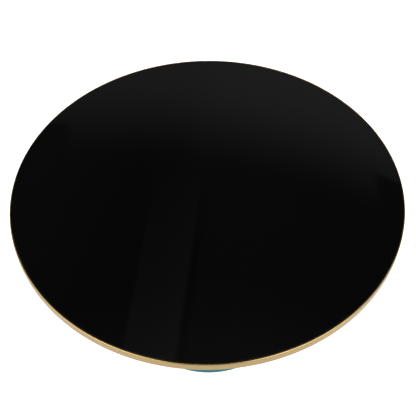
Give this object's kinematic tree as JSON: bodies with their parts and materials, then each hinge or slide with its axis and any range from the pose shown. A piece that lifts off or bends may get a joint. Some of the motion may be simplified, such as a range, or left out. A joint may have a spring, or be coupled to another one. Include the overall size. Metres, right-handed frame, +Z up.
{
  "type": "turntable display stand",
  "caption": "Round display turntable: an opaque glass disc in a metal edge rim, spinning on a ball-bearing spindle in a cast pedestal base.",
  "frame": {"origin": "on the table, under the centre of the foot, on the turning axis", "axes": "+Z up along the turning axis, towards the glass top; -Y towards the front"},
  "size_m": [0.3, 0.3, 0.1675],
  "materials": {
    "black_glass": "polished, opaque black",
    "gold_aluminium": "satin gold anodised",
    "teal_enamel": "gloss teal enamel on cast metal",
    "aluminium": "turned",
    "steel": "ground",
    "zinc_steel": "zinc plated",
    "black_rubber": "matt",
    "grey_foam": "closed-cell foam tape",
    "black_steel": "black oxide",
    "brass": "pressed"
  },
  "bodies": {
    "base": {"pedestal": "teal_enamel", "foot_ring": "black_rubber", "bottom_cover": "black_steel", "cover_screw_1": "zinc_steel", "cover_screw_2": "zinc_steel", "cover_screw_3": "zinc_steel", "retaining_clip": "black_steel", "upper_outer_ring": "steel", "lower_outer_ring": "steel", "upper_shield_top": "zinc_steel", "upper_shield_bottom": "zinc_steel", "lower_shield_top": "zinc_steel", "lower_shield_bottom": "zinc_steel"},
    "turntable": {"glass_top": "black_glass", "edge_rim": "gold_aluminium", "rim_tape": "grey_foam", "bond_pad": "grey_foam", "carrier_plate": "aluminium", "hub": "aluminium", "hub_bolt": "zinc_steel", "hub_screw_1": "zinc_steel", "hub_screw_2": "zinc_steel", "hub_screw_3": "zinc_steel", "hub_screw_4": "zinc_steel", "spindle": "steel", "inner_spacer": "aluminium", "flat_washer": "zinc_steel", "spring_washer": "steel", "lock_nut": "zinc_steel", "upper_inner_ring": "steel", "lower_inner_ring": "steel"},
    "upper_cage": {"upper_ball_cage": "brass", "upper_ball_1": "steel", "upper_ball_2": "steel", "upper_ball_3": "steel", "upper_ball_4": "steel", "upper_ball_5": "steel", "upper_ball_6": "steel", "upper_ball_7": "steel", "upper_ball_8": "steel"},
    "lower_cage": {"lower_ball_cage": "brass", "lower_ball_1": "steel", "lower_ball_2": "steel", "lower_ball_3": "steel", "lower_ball_4": "steel", "lower_ball_5": "steel", "lower_ball_6": "steel", "lower_ball_7": "steel", "lower_ball_8": "steel"}
  },
  "joints": [
    {"name": "table_spin", "type": "hinge", "parent": "base", "child": "turntable", "pos_m": [0, 0, 0.1351], "axis": [0, 0, 1], "continuous": true},
    {"name": "upper_cage_orbit", "type": "hinge", "parent": "base", "child": "upper_cage", "pos_m": [0, 0, 0.1351], "axis": [0, 0, 1], "continuous": true},
    {"name": "lower_cage_orbit", "type": "hinge", "parent": "base", "child": "lower_cage", "pos_m": [0, 0, 0.0436], "axis": [0, 0, 1], "continuous": true}
  ],
  "couplings": [
    {"joint": "upper_cage_orbit", "follows": "table_spin", "ratio": 0.38},
    {"joint": "lower_cage_orbit", "follows": "table_spin", "ratio": 0.38}
  ]
}
